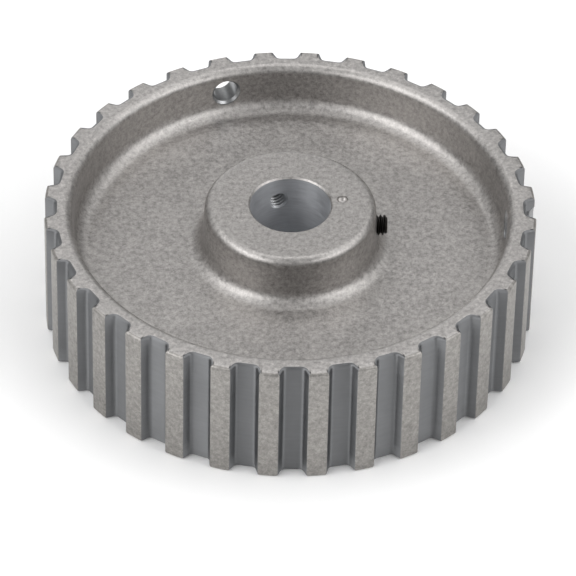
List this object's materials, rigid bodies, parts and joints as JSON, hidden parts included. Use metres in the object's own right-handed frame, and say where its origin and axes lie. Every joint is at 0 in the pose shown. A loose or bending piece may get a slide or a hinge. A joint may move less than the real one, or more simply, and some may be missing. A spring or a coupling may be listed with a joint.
{
  "type": "timing belt pulley",
  "caption": "One-piece toothed timing belt pulley with a recessed web, a plain-bored hub and radial set screws reached through holes in the rim.",
  "frame": {"origin": "on the bore's axis, in the plane of the rear rim face, which is the lowest plane of the part", "axes": "+Z along the bore axis towards the hub's proud front face; +X along set screw 1, pointing out of the hub"},
  "size_m": [0.0962, 0.0962, 0.0275],
  "materials": {
    "cast_aluminium": "as-cast and tumbled grey, with hobbed tooth grooves and a reamed bore",
    "black_oxide_steel": "black oxide alloy steel"
  },
  "bodies": {
    "pulley": {"pulley_body": "cast_aluminium"},
    "screw_1": {"set_screw_1": "black_oxide_steel"},
    "screw_2": {"set_screw_2": "black_oxide_steel"}
  },
  "joints": [
    {"name": "set_screw_1_travel", "type": "slide", "parent": "pulley", "child": "screw_1", "axis": [1, 0, 0], "range_m": [-0.00317, 0.00317]},
    {"name": "set_screw_2_travel", "type": "slide", "parent": "pulley", "child": "screw_2", "axis": [-0.2756, 0.9613, 0], "range_m": [-0.00397, 0.00238]}
  ]
}
